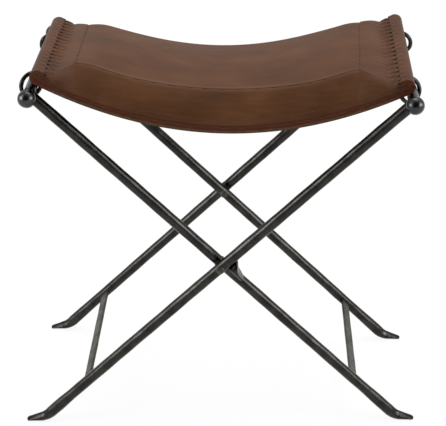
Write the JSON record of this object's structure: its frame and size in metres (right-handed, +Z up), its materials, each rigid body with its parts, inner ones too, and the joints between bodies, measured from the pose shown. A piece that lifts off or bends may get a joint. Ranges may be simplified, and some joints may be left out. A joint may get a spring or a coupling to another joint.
{
  "type": "x frame stool",
  "caption": "Low folding stool: two crossed forged iron frames with bent feet and ball-ended rails carry a padded leather sling seat on ringed rods.",
  "frame": {"origin": "on the floor under the middle of the stool, where its box's bottom centre lies", "axes": "+Z up, +X to the right along the seat from rail to rail, +Y to the back along the rails and the pivot"},
  "size_m": [0.5282, 0.272, 0.5003],
  "materials": {
    "black_iron": "satin, waxed black forged iron",
    "worn_iron": "matt, worn forged iron",
    "polished_iron": "polished black iron",
    "cover_leather": "waxed brown leather with a soft sheen",
    "base_leather": "thick red-brown saddle leather",
    "foam": "open foam, hidden in the cover"
  },
  "bodies": {
    "outer_frame": {"outer_leg_front": "black_iron", "outer_leg_back": "black_iron", "right_rail": "black_iron", "outer_stretcher": "worn_iron", "right_ball_front": "polished_iron", "right_ball_back": "polished_iron", "right_ring_front": "black_iron", "right_ring_back": "black_iron", "right_seat_rod": "worn_iron", "pivot_rivet_front": "black_iron", "pivot_rivet_back": "black_iron", "pivot_washer_front": "worn_iron", "pivot_washer_back": "worn_iron", "base_leather": "base_leather", "cover_leather": "cover_leather", "foam_pad": "foam"},
    "inner_frame": {"inner_leg_front": "black_iron", "inner_leg_back": "black_iron", "left_rail": "black_iron", "inner_stretcher": "worn_iron", "left_ball_front": "polished_iron", "left_ball_back": "polished_iron", "left_ring_front": "black_iron", "left_ring_back": "black_iron", "left_seat_rod": "worn_iron", "stop_lug": "black_iron"}
  },
  "joints": [
    {"name": "fold", "type": "hinge", "parent": "outer_frame", "child": "inner_frame", "pos_m": [0, 0, 0.239], "axis": [0, 1, 0], "range_deg": [0, 62], "deforming": ["base_leather", "cover_leather", "foam_pad"]}
  ]
}
